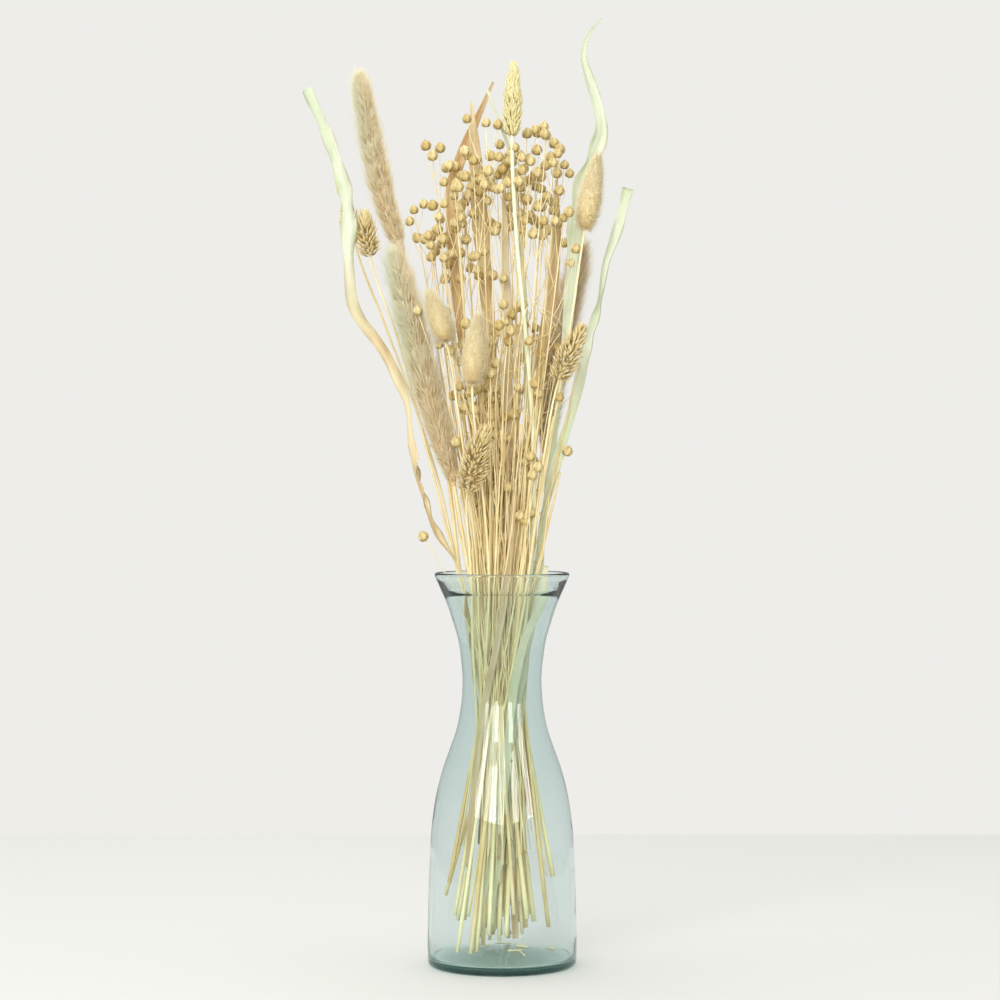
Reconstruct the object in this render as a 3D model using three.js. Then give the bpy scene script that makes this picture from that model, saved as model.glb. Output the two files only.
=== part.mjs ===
// A bunch of dried grasses, flax and leaves that stands in a flared glass carafe.
// Millimetres, +Z up. The origin is the middle of the carafe's flat underside.
import * as THREE from "three";

// ---- driving dimensions: the carafe ----
const CARAFE_SIDES = 34;
const RIM_Z = 270;
const FOOT_RADIUS = 46.5;
const HEEL_RADIUS = 4.7; // rounding between the underside and the wall
const FLOOR_RADIUS = 43.5; // where the inner floor meets the wall
const FLOOR_EDGE_Z = 8;
const FLOOR_RISE = 7; // the inner floor is a shallow dome
// Outer radius at heights, from the heel to the lip.
const OUTER = [
  [51.2, 4.7], [51.2, 32], [50, 66], [46.8, 107], [41, 134], [34.6, 152],
  [29.4, 169], [27.1, 189], [27.4, 206], [30.2, 222], [36, 244], [41.7, 258], [46.4, 268.4],
];
// Wall thickness at heights. The thick ring below the lip ends in a ledge.
const WALL = [
  [8, 4.4], [20, 3], [66, 2.7], [150, 2.9], [200, 3.2], [236, 3.5],
  [252, 5], [256.6, 5.2], [258.4, 3], [267.6, 2.6],
];

// ---- driving dimensions: the bunch ----
const WAIST_Z = 195; // the stalks are tightest in the carafe's neck
const LEAN = [1.5, 4]; // the bunch leans on the back of the neck
const SPREAD = 0.006; // how fast the stalks part above the waist, per mm
const TWIST = 0.01; // how far the bunch turns, per mm of height
const GAP = 0.7; // clear space kept between two pieces
const LEVEL = 5; // height step at which two routes are compared
const BUMP = 45; // height over which a route bends to clear a neighbour

const LEAF_THICK = 1.2;
const SEED_GOLDEN = Math.PI * (3 - Math.sqrt(5)); // spreads a clump evenly

// Each featured piece passes through these places [x, y, z], from the mouth to its tip.
const PLUMES = {
  foxtail_tall: {
    via: [[-30, 4, 275], [-39, 8, 354], [-53, 10, 422], [-70, 10, 490], [-84, 6, 539], [-99, 0, 615]],
    head: 128, core: 6.2, stem: 1.5, foot: 34,
  },
  foxtail_low: {
    via: [[-24, -8, 275], [-34, -14, 335], [-49, -16, 388], [-66, -16, 456], [-74, -14, 494]],
    head: 162, core: 6.8, stem: 1.6, foot: 14,
  },
  foxtail_back: {
    via: [[17, 14, 275], [29, 24, 350], [38, 28, 420], [48, 28, 463], [56, 26, 500]],
    head: 146, core: 7.4, stem: 1.6, foot: 22,
  },
};
const BUNNY_TAILS = {
  bunny_tail_right: { via: [[18, -10, 275], [45, -14, 429], [56, -14, 503], [66, -13, 558]], head: 54 },
  bunny_tail_left: { via: [[-17, -19, 275], [-31, -28, 388], [-38, -30, 428], [-51, -32, 464]], head: 37 },
  bunny_tail_front: { via: [[-9, -22, 275], [-18, -38, 370], [-20, -42, 398], [-15, -46, 448]], head: 50 },
};
const CANARY_GRASS = {
  canary_grass_top: { via: [[20, -6, 272], [22, -12, 323], [19, -16, 402], [12, -18, 470], [7, -20, 549], [8, -20, 618]], head: 52 },
  canary_grass_left_back: { via: [[-31, 10, 275], [-46, 14, 340], [-76, 17, 428], [-98, 18, 484], [-109, 18, 530]], head: 34 },
  canary_grass_left: { via: [[-31, -2, 275], [-43, -3, 320], [-71, -4, 429], [-90, -5, 484], [-95, -5, 520]], head: 34 },
  canary_grass_right: { via: [[19, -16, 275], [27, -28, 340], [38, -36, 400], [56, -40, 441]], head: 40 },
  canary_grass_front: { via: [[-21, -24, 275], [-24, -40, 322], [-10, -48, 372]], head: 46 },
};
// From the mouth to the tip, evenly: widths, how wide the leaf is, and bearings, the angle its width faces, degrees.
const LEAVES = {
  leaf_left: {
    via: [[-28, -8, 272], [-44, -10, 298], [-52, -10, 320], [-61, -9, 356], [-65, -8, 386], [-80, -8, 420],
      [-100, -8, 449], [-104, -8, 476], [-105, -8, 522], [-118, -6, 566], [-133, -4, 600]],
    widths: [5, 8, 9, 9, 10.5, 9, 9, 11.5, 11.5, 9, 2], bearings: [70, 40, 75, 120, 160, 190, 160, 180, 200, 175, 150], foot: 16,
  },
  leaf_right_tall: {
    via: [[24, 6, 275], [34, 11, 350], [44, 12, 430], [50, 10, 498], [54, 8, 532], [62, 6, 553], [68, 4, 572],
      [66, 3, 588], [59, 2, 611], [56, 2, 631], [68, 0, 649]],
    widths: [5, 5, 6, 7, 9, 13, 12.5, 8, 1.8], bearings: [20, 35, 10, -10, 15, 0, 25, 0, 20], foot: 30,
  },
  leaf_right: {
    via: [[27, -2, 275], [27, -2, 292], [32, -4, 326], [40, -6, 355], [49, -6, 385], [58, -5, 425], [67, -4, 457],
      [71, -3, 482], [79, -2, 505], [86, 0, 533]],
    widths: [5, 6, 7.5, 8, 10.5, 8, 6.5, 9, 3.6], bearings: [40, 20, 5, -15, 10, 40, 70, 25, 0], foot: 16,
  },
  leaf_broad: {
    via: [[-3, 10, 275], [-4, 20, 333], [-5, 24, 388], [-10, 26, 456], [-14, 24, 500], [-17, 22, 535], [-21, 20, 594]],
    widths: [4.6, 5, 6, 8, 11, 12, 1.8], bearings: [10, 20, 35, 5, -5, 15, 20], foot: 18,
  },
  leaf_pointed: {
    via: [[-14, 12, 275], [-23, 24, 388], [-31, 30, 456], [-35, 32, 504], [-34, 32, 538], [-26, 31, 563], [-6, 30, 609]],
    widths: [4.6, 4.6, 5, 6, 8, 9, 1.8], bearings: [40, 60, 30, 10, 0, 10, 30], foot: 24,
  },
  leaf_thin: {
    via: [[12, 4, 275], [17, 6, 388], [14, 6, 480], [10, 5, 525], [5, 4, 559], [-4, 3, 584], [-10, 2, 600]],
    widths: [4, 4, 4.6, 4.6, 3, 1.8], bearings: [0, 20, 40, 10], foot: 40,
  },
  leaf_middle: {
    via: [[3, -4, 275], [4, -3, 388], [4, 0, 456], [3, 2, 500], [1, 3, 549]],
    widths: [4.6, 5, 6, 6.6, 5, 2], bearings: [50, 20, 0, 10], foot: 20,
  },
  leaf_tan: {
    via: [[12, 14, 275], [22, 18, 374], [29, 20, 429], [34, 20, 463], [37, 20, 505], [37, 19, 540]],
    widths: [4.6, 5, 6, 9, 9, 7, 2], bearings: [30, -10, 5, 20], foot: 46,
  },
};
// Flax grows in clumps: count stalks, whose tips lie around centre within reach.
const FLAX_CLUMPS = [
  { count: 12, centre: [-38, 4, 526], reach: [30, 30, 40] },
  { count: 13, centre: [26, 2, 545], reach: [27, 30, 36] },
  { count: 4, centre: [-4, -6, 560], reach: [12, 24, 26] },
  { count: 7, centre: [0, -16, 405], reach: [40, 30, 60] },
];
const FLAX_STEM = 0.95;
const BOLL_RADIUS = 3.9; // a flax seed pod
const BOLL_LENGTH = 8.6;

// ---- small helpers ----

// Cubic curve through [key, ...values] rows, read at a key between the first and the last.
function curveThrough(rows) {
  const at = (i) => rows[Math.min(Math.max(i, 0), rows.length - 1)];
  const slope = (i, c) => (at(i + 1)[c] - at(i - 1)[c]) / (at(i + 1)[0] - at(i - 1)[0] || 1);
  return (key) => {
    let i = rows.findIndex((row) => row[0] > key) - 1;
    if (i < 0) i = key < rows[0][0] ? 0 : rows.length - 2;
    const span = rows[i + 1][0] - rows[i][0];
    const t = THREE.MathUtils.clamp((key - rows[i][0]) / span, 0, 1);
    return rows[i].slice(1).map((value, n) => {
      const c = n + 1;
      const a = (2 * t ** 3 - 3 * t ** 2 + 1) * value + (t ** 3 - 2 * t ** 2 + t) * span * slope(i, c);
      const b = (3 * t ** 2 - 2 * t ** 3) * rows[i + 1][c] + (t ** 3 - t ** 2) * span * slope(i + 1, c);
      return a + b;
    });
  };
}

const outerRadius = curveThrough(OUTER.map(([r, z]) => [z, r]));
const wallAt = (z) => {
  const i = Math.max(0, Math.min(WALL.findIndex((row) => row[0] > z), WALL.length - 1) - 1);
  return THREE.MathUtils.mapLinear(
    THREE.MathUtils.clamp(z, WALL[i][0], WALL[i + 1][0]), WALL[i][0], WALL[i + 1][0], WALL[i][1], WALL[i + 1][1]);
};
const innerRadius = (z) => outerRadius(z)[0] - wallAt(z);
const floorHeight = (r) => FLOOR_EDGE_Z + FLOOR_RISE * Math.max(0, 1 - (r / FLOOR_RADIUS) ** 2);

// A linear map of the bunch's section at the waist to its section at height z.
function opening(z) {
  const s = z - WAIST_Z;
  return [1 + SPREAD * s, TWIST * s];
}
function fromWaist([px, py], z) {
  const [k, w] = opening(z);
  return [LEAN[0] + k * px - w * py, LEAN[1] + w * px + k * py];
}
function toWaist([x, y], z) {
  const [k, w] = opening(z);
  const [dx, dy, size] = [x - LEAN[0], y - LEAN[1], k * k + w * w];
  return [(k * dx + w * dy) / size, (k * dy - w * dx) / size];
}

// ---- routes ----

// The heights of a piece's rings: even steps along the stem, then the given heights of its head.
function ringHeights(foot, headFrom, headRings, steps) {
  const stem = Array.from({ length: steps + 1 }, (_, i) => foot + ((headFrom - foot) * i) / steps);
  return [...stem, ...headRings];
}

// A piece of the bunch: its route through the neck, as a centre and a radius at each ring height.
function makePiece(name, kind, via, rings) {
  const waist = toWaist(via[0], via[0][2]);
  const foot = rings[0][1];
  const rows = [foot, (foot + WAIST_Z) / 2, WAIST_Z].map((z) => [z, ...fromWaist(waist, z)]);
  for (const [x, y, z] of via) rows.push([z, x, y]);
  const line = curveThrough(rows);
  const levels = rings.map(([r, z]) => ({ z, r, x: line(z)[0], y: line(z)[1] }));
  return { name, kind, rings, levels };
}

// Straight lines through [radius, z] rows.
function curveFlat(rings) {
  return (z) => {
    let i = rings.findIndex(([, h]) => h > z);
    if (i < 0) return rings.at(-1)[0];
    if (i === 0) return rings[0][0];
    const [r0, z0] = rings[i - 1];
    const [r1, z1] = rings[i];
    return THREE.MathUtils.mapLinear(z, z0, z1, r0, r1);
  };
}

// A stalk's rings as [radius, z]: a thin stem, then a head whose outline is shape(0..1) times its core radius.
function stalkRings(foot, tip, headLength, stem, core, shape, steps, headSteps) {
  const from = tip - headLength;
  const rings = ringHeights(foot, from, [], steps).map((z) => [stem, z]);
  for (let i = 1; i < headSteps; i++) rings.push([core * shape(i / headSteps), from + (headLength * i) / headSteps]);
  rings.push([stem * 0.6, tip]);
  return rings;
}
const spindle = (t) => Math.sin(Math.PI * t ** 0.8) ** 0.55;
const egg = (t) => Math.sin(Math.PI * t ** 0.75) ** 0.6;

// A leaf's rings: even steps up to the mouth, then closer ones, so that none turns far from the last.
function leafRings({ via, foot, widths, bearings }) {
  const [mouth, tip] = [via[0][2], via.at(-1)[2]];
  const turning = bearings.reduce((sum, b, i) => sum + Math.abs(b - bearings[Math.max(i - 1, 0)]), 0);
  const rows = Math.ceil(Math.max((tip - mouth) / 13, turning / 7));
  const heights = ringHeights(foot, mouth, [], 7);
  for (let i = 1; i <= rows; i++) heights.push(mouth + ((tip - mouth) * i) / rows);
  const width = curveThrough(evenly(widths));
  return heights.map((z) => [width(THREE.MathUtils.clamp((z - mouth) / (tip - mouth), 0, 1))[0] / 2, z]);
}
// A list's values as [share of the way, value] rows.
function evenly(list) {
  return list.map((value, i) => [i / (list.length - 1), value]);
}

// ---- keeping the pieces apart ----

// Free space kept inside the carafe, in front of the bunch, as upright rods [x, y, radius, top].
const KEPT_CLEAR = [[0, -19.4, 4.6, 300], [0, -41, 27, 100]];

// Where two pieces have the least room between them, at even steps and at each ring.
function closest(a, b) {
  const z0 = Math.max(a.levels[0].z, b.levels[0].z);
  const z1 = Math.min(a.levels.at(-1).z, b.levels.at(-1).z);
  let worst = null;
  const compare = (z) => {
    const [p, q] = [levelAt(a, z), levelAt(b, z)];
    const [dx, dy] = [p.x - q.x, p.y - q.y];
    const room = Math.hypot(dx, dy) - p.r - q.r - GAP;
    if (!worst || room < worst.room) worst = { room, z, dx, dy };
  };
  for (let z = z0; z <= z1; z += LEVEL) compare(z);
  for (const { z } of [...a.levels, ...b.levels]) if (z > z0 && z < z1) compare(z);
  return worst;
}

// A piece's centre and radius at a height, straight from ring to ring.
function levelAt(piece, z) {
  const { levels } = piece;
  let i = 1;
  while (i < levels.length - 1 && levels[i].z < z) i++;
  const [a, b] = [levels[i - 1], levels[i]];
  const t = THREE.MathUtils.clamp((z - a.z) / (b.z - a.z), 0, 1);
  return { x: a.x + (b.x - a.x) * t, y: a.y + (b.y - a.y) * t, r: a.r + (b.r - a.r) * t };
}

function nudge(piece, z, dx, dy) {
  for (const level of piece.levels) {
    const fall = Math.exp(-(((level.z - z) / BUMP) ** 2));
    level.x += dx * fall;
    level.y += dy * fall;
  }
}

// Pushes a pair apart where they are closest. The stouter piece moves less.
function part(a, b) {
  const near = closest(a, b);
  if (!near || near.room >= 0) return 0;
  const size = Math.hypot(near.dx, near.dy) || 1;
  const [ux, uy] = size > 1e-6 ? [near.dx / size, near.dy / size] : [1, 0];
  const share = b.weight / (a.weight + b.weight);
  const push = -near.room * 0.6;
  nudge(a, near.z, ux * push * share, uy * push * share);
  nudge(b, near.z, -ux * push * (1 - share), -uy * push * (1 - share));
  return -near.room;
}

// Keeps a piece off the glass and out of the space that stays free.
function keepInside(piece) {
  let worst = 0;
  const [from, to] = [piece.levels[0].z, Math.min(RIM_Z, piece.levels.at(-1).z)];
  for (let z = from; z <= to; z += LEVEL) {
    const level = { ...levelAt(piece, z), z };
    if (level.z < RIM_Z) {
      const most = innerRadius(Math.max(level.z, FLOOR_EDGE_Z)) - level.r - 1;
      const far = Math.hypot(level.x, level.y);
      if (far > most) {
        nudge(piece, level.z, (-level.x / far) * (far - most), (-level.y / far) * (far - most));
        worst = Math.max(worst, far - most);
      }
    }
    for (const [x, y, r, top] of KEPT_CLEAR) {
      if (level.z > top) continue;
      const [dx, dy] = [level.x - x, level.y - y];
      const far = Math.hypot(dx, dy);
      const lack = r + level.r - far;
      if (lack > 0) {
        nudge(piece, level.z, (dx / far) * lack, (dy / far) * lack);
        worst = Math.max(worst, lack);
      }
    }
  }
  return worst;
}

function settle(pieces, rounds) {
  let worst = 0;
  for (let n = 0; n < rounds; n++) {
    worst = 0;
    for (let i = 0; i < pieces.length; i++)
      for (let j = 0; j < i; j++) worst = Math.max(worst, part(pieces[i], pieces[j]));
    for (const piece of pieces) worst = Math.max(worst, keepInside(piece));
    if (worst < 0.15) break;
  }
  return worst;
}

// ---- solids ----

// Slides each level ring of an upright solid sideways onto the piece's route.
function slide(geometry, piece) {
  const position = geometry.getAttribute("position");
  for (let i = 0; i < position.count; i++) {
    const { x, y } = levelAt(piece, position.getZ(i));
    position.setX(i, position.getX(i) + x);
    position.setY(i, position.getY(i) + y);
  }
  geometry.computeVertexNormals();
  return geometry;
}

function stalkSolid(piece, sides) {
  const outline = [new THREE.Vector2(0, piece.rings[0][1])];
  for (const [r, z] of piece.rings) outline.push(new THREE.Vector2(r, z));
  outline.push(new THREE.Vector2(0, piece.rings.at(-1)[1]));
  return slide(new THREE.LatheGeometry(outline, sides).rotateX(Math.PI / 2), piece);
}

function leafSolid(piece) {
  const { spec, rings } = piece;
  const z1 = rings.at(-1)[1];
  const geometry = new THREE.BoxGeometry(1, 1, rings.length - 1, 1, 1, rings.length - 1);
  const position = geometry.getAttribute("position");
  const mouth = spec.via[0][2];
  const bearing = curveThrough(evenly(spec.bearings));
  for (let i = 0; i < position.count; i++) {
    const z = rings[Math.round(position.getZ(i) + (rings.length - 1) / 2)][1];
    const t = (z - mouth) / (z1 - mouth);
    const angle = THREE.MathUtils.degToRad(bearing(t)[0]);
    const across = position.getX(i) * 2 * piece.radius(z);
    const thick = position.getY(i) * LEAF_THICK;
    position.setX(i, across * Math.cos(angle) - thick * Math.sin(angle));
    position.setY(i, across * Math.sin(angle) + thick * Math.cos(angle));
    position.setZ(i, z);
  }
  return slide(geometry, piece);
}

function carafeSolid() {
  const outline = [new THREE.Vector2(0, 0)];
  for (let i = 0; i <= 3; i++) {
    const a = (i / 3) * (Math.PI / 2);
    outline.push(new THREE.Vector2(FOOT_RADIUS + HEEL_RADIUS * Math.sin(a), HEEL_RADIUS * (1 - Math.cos(a))));
  }
  for (const [r, z] of OUTER.slice(1)) outline.push(new THREE.Vector2(r, z));
  const lipRadius = innerRadius(267.6);
  outline.push(new THREE.Vector2(OUTER.at(-1)[0] - 0.9, RIM_Z));
  outline.push(new THREE.Vector2(lipRadius + 0.5, RIM_Z - 0.5));
  for (const z of [258.4, 256.6, 236, 206, 189, 169, 152, 134, 107, 66, 20, 12])
    outline.push(new THREE.Vector2(innerRadius(z), z));
  for (const share of [1, 0.7, 0.35, 0])
    outline.push(new THREE.Vector2(FLOOR_RADIUS * share, floorHeight(FLOOR_RADIUS * share)));
  return new THREE.LatheGeometry(outline, CARAFE_SIDES).rotateX(Math.PI / 2);
}

// ---- finishes ----
const finish = (color, roughness = 0.85) => new THREE.MeshStandardMaterial({ color, roughness, metalness: 0 });
const GLASS = new THREE.MeshPhysicalMaterial({
  color: 0xbfd6d2, roughness: 0.03, metalness: 0, transmission: 1, ior: 1.52, transparent: true, opacity: 0.4,
});
const PLUME = finish(0xd8c290);
const TAIL = finish(0xdfcb94);
const SPIKELET = finish(0xcbb476);
const FLAX = finish(0xbfa468);
const GREEN_LEAF = finish(0xdbe2c8, 0.7);
const TAN_LEAF = finish(0xc7ad7d, 0.7);
const LEAF_FINISH = {
  leaf_left: GREEN_LEAF, leaf_right_tall: GREEN_LEAF, leaf_right: GREEN_LEAF, leaf_thin: GREEN_LEAF,
  leaf_broad: TAN_LEAF, leaf_pointed: TAN_LEAF, leaf_middle: TAN_LEAF, leaf_tan: TAN_LEAF,
};

// ---- the bunch ----
const pieces = [];
function addStalk(name, kind, via, rings, weight, sides, material) {
  pieces.push({ ...makePiece(name, kind, via, rings), weight, sides, material });
}

for (const [name, spec] of Object.entries(PLUMES)) {
  const rings = stalkRings(spec.foot, spec.via.at(-1)[2], spec.head, spec.stem, spec.core, spindle, 8, 7);
  addStalk(name, "plume", spec.via, rings, 8, 8, PLUME);
}
let feet = 18;
for (const [name, spec] of Object.entries(BUNNY_TAILS)) {
  const rings = stalkRings(feet, spec.via.at(-1)[2], spec.head, 1.05, 6.4, egg, 8, 5);
  addStalk(name, "tail", spec.via, rings, 7, 7, TAIL);
  feet += 12;
}
for (const [name, spec] of Object.entries(CANARY_GRASS)) {
  const stem = name === "canary_grass_top" ? 1.7 : 1;
  const rings = stalkRings(feet, spec.via.at(-1)[2], spec.head, stem, 6, egg, 8, 5);
  addStalk(name, "spike", spec.via, rings, 7, 7, SPIKELET);
  feet += feet > 55 ? -38 : 9;
}
for (const [name, spec] of Object.entries(LEAVES)) {
  const rings = leafRings(spec);
  const piece = makePiece(name, "leaf", spec.via, rings);
  pieces.push({ ...piece, spec, radius: curveFlat(rings), weight: 5, material: LEAF_FINISH[name] });
}
let flaxCount = 0;
for (const { count, centre, reach } of FLAX_CLUMPS) {
  for (let i = 0; i < count; i++) {
    const angle = i * SEED_GOLDEN + flaxCount;
    const out = Math.sqrt((i + 0.5) / count);
    const rise = ((i * 0.618 + 0.31) % 1) * 2 - 1;
    const tip = centre[2] + reach[2] * rise;
    const [x, y] = [centre[0] + reach[0] * out * Math.cos(angle), centre[1] + reach[1] * out * Math.sin(angle)];
    const waist = toWaist([x, y], tip);
    const mouth = [...fromWaist(waist, 275), 275];
    flaxCount += 1;
    const foot = 16 + ((flaxCount * 0.618) % 1) * 56;
    const from = tip - BOLL_LENGTH;
    const rings = ringHeights(foot, from, [], 5).map((z) => [FLAX_STEM, z]);
    rings.push([BOLL_RADIUS, from + BOLL_LENGTH * 0.4], [FLAX_STEM, tip]);
    const name = `flax_${String(flaxCount).padStart(2, "0")}`;
    addStalk(name, "flax", [mouth, [x, y, tip]], rings, 1, 5, FLAX);
  }
}
const left = settle(pieces, 400);
if (left > 0.35) throw new Error(`the bunch is still ${left.toFixed(2)} mm too tight`);

// ---- the object ----
const bouquet = new THREE.Group();
function add(name, geometry, material) {
  const mesh = new THREE.Mesh(geometry, material);
  mesh.name = name;
  bouquet.add(mesh);
}
add("carafe", carafeSolid(), GLASS);
for (const piece of pieces) {
  const solid = piece.kind === "leaf" ? leafSolid(piece) : stalkSolid(piece, piece.sides);
  add(piece.name, solid, piece.material);
}

export default bouquet;
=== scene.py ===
"""A dried grass bunch in a glass carafe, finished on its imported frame.

Each stalk and leaf follows the route of its own solid in the frame. Lengths in this file are in
millimetres until a mesh is made. Every surface is a closed shell worked out as whole arrays.
"""

import bpy
import numpy as np
from mathutils import Matrix


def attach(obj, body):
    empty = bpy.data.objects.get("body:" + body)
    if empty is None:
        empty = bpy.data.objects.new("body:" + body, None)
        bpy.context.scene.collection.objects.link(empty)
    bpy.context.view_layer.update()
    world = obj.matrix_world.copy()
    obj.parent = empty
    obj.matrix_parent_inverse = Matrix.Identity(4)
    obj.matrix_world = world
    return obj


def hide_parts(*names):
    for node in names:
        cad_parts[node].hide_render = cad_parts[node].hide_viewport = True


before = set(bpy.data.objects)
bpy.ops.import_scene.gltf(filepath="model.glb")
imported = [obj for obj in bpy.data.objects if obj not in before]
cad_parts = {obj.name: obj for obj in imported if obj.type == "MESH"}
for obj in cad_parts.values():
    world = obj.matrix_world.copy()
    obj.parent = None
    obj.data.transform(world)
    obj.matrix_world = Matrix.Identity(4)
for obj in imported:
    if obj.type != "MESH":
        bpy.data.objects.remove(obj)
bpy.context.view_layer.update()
MM = 0.001
GOLDEN = np.pi * (3 - np.sqrt(5))
# Points nearer in height than this are on one ring of a solid, mm.
LEVEL_GAP = 0.05
# How far a shell's grain is shifted for each unit of its chance shade, mm, so that no two look alike.
GRAIN_SHIFT = 97
rng = np.random.default_rng(11)


# ---- reading the frame ----

def read_rings(name):
    """A solid's level rings from foot to tip, in mm: centres, round reaches, half widths, bearings.

    Points at one height are one ring. Its centre is their mean, and its round reach the root mean
    square of their distances from it. Its half width and bearing are the length and angle of the
    longer axis of their spread.
    """
    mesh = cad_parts[name].data
    co = np.empty(len(mesh.vertices) * 3, np.float32)
    mesh.vertices.foreach_get("co", co)
    points = np.unique(np.round(co.reshape(-1, 3).astype(float) / MM, 3), axis=0)
    points = points[np.argsort(points[:, 2])]
    ring = np.concatenate([[0], np.cumsum(np.diff(points[:, 2]) > LEVEL_GAP)])
    count = np.bincount(ring)
    centre = np.stack([np.bincount(ring, points[:, c]) / count for c in range(3)], 1)
    dx, dy = (points - centre[ring])[:, :2].T
    xx, yy, xy = (np.bincount(ring, v) / count for v in (dx * dx, dy * dy, dx * dy))
    bearing = np.unwrap(np.arctan2(2 * xy, xx - yy)) / 2
    longer = (xx + yy) / 2 + np.hypot((xx - yy) / 2, xy)
    return centre, np.sqrt(xx + yy), np.sqrt(longer), bearing


def smooth(keys, rows, at):
    """Cubic curve through rows at keys, whose slope at each comes from its neighbours, read at at."""
    rows = rows.reshape(len(keys), -1)
    slopes = np.gradient(rows, keys, axis=0)
    i = np.clip(np.searchsorted(keys, at, side="right") - 1, 0, len(keys) - 2)
    span = (keys[i + 1] - keys[i])[:, None]
    t = np.clip((at - keys[i])[:, None] / span, 0, 1)
    low = (2 * t**3 - 3 * t**2 + 1) * rows[i] + (t**3 - 2 * t**2 + t) * span * slopes[i]
    high = (3 * t**2 - 2 * t**3) * rows[i + 1] + (t**3 - t**2) * span * slopes[i + 1]
    return low + high


def route_at(route, z):
    """The points of a route at heights z."""
    return smooth(route[:, 2], route, z)


def unit(v):
    """Each vector at length one."""
    return v / np.maximum(np.linalg.norm(v, axis=-1, keepdims=True), 1e-9)


def turns(count):
    """The angles of count equal steps round a circle."""
    return np.arange(count) * 2 * np.pi / count


def circle(side, other, turn):
    """The directions at angles turn from each side towards its other."""
    return np.cos(turn)[:, None] * side[:, None] + np.sin(turn)[:, None] * other[:, None]


def leaning(ahead, out, lean):
    """Each direction ahead, leaning out by an angle."""
    return ahead * np.cos(lean)[:, None] + out * np.sin(lean)[:, None]


def bowed(start, elbow, end, points):
    """Quadratic curves from start to end, drawn towards elbow, as (curve, point, xyz)."""
    t = np.linspace(0, 1, points)[None, :, None]
    return (1 - t) ** 2 * start[:, None] + 2 * t * (1 - t) * elbow[:, None] + t**2 * end[:, None]


# ---- shells ----

def shells(rings, low, high):
    """Closed shells from rings (shell, ring, corner, xyz): quads between rings, a fan at each end."""
    m, n, s, _ = rings.shape
    size = n * s + 2
    base = (np.arange(m) * size)[:, None, None]
    row, j = np.arange(n - 1)[:, None] * s, np.arange(s)
    k = (j + 1) % s
    corners = (base + row + j, base + row + k, base + row + s + k, base + row + s + j)
    quads = np.stack(np.broadcast_arrays(*corners), -1).reshape(-1, 4)
    start, last = base[:, :, 0] + 0 * j, base[:, :, 0] + (n - 1) * s
    under = np.stack([start + n * s, start + k, start + j], -1)
    over = np.stack([start + n * s + 1, last + j, last + k], -1)
    tris = np.concatenate([under.reshape(-1, 3), over.reshape(-1, 3)])
    verts = np.concatenate([rings.reshape(m, n * s, 3), low[:, None], high[:, None]], 1)
    return verts.reshape(-1, 3), quads, tris


def frames_along(paths):
    """For each point of each path: the direction of the path and two directions square to it."""
    ahead = unit(np.gradient(paths, axis=1))
    level = np.abs(ahead[..., 1].mean(1)) > 0.8
    reference = np.where(level[:, None, None], [1.0, 0, 0], [0, 1.0, 0])
    side = unit(np.cross(np.broadcast_to(reference, ahead.shape), ahead))
    return ahead, side, np.cross(ahead, side)


def per_corner(values, shape):
    """Spreads values over shells of a shape: one for each ring and corner, then one for each pole."""
    values = np.broadcast_to(values, shape)
    return np.concatenate([values.reshape(shape[0], -1), values[:, 0, :1], values[:, -1, :1]], 1).reshape(-1)


def tubes(paths, radii, sides, flat=1.0):
    """Tubes about paths (tube, point, xyz), each ring square to its path. flat squeezes them."""
    ahead, side, other = frames_along(paths)
    turn = turns(sides)
    ring = np.cos(turn)[:, None] * side[:, :, None] + flat * np.sin(turn)[:, None] * other[:, :, None]
    low = paths[:, 0] - ahead[:, 0] * radii[:, :1] * 0.2
    high = paths[:, -1] + ahead[:, -1] * radii[:, -1:] * 0.5
    return shells(paths[:, :, None] + radii[..., None, None] * ring, low, high)


def lengths_along(paths):
    """Distance travelled along each path at each of its points."""
    steps = np.linalg.norm(np.diff(paths, axis=1), axis=-1)
    return np.concatenate([np.zeros((len(paths), 1)), np.cumsum(steps, 1)], 1)


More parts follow.
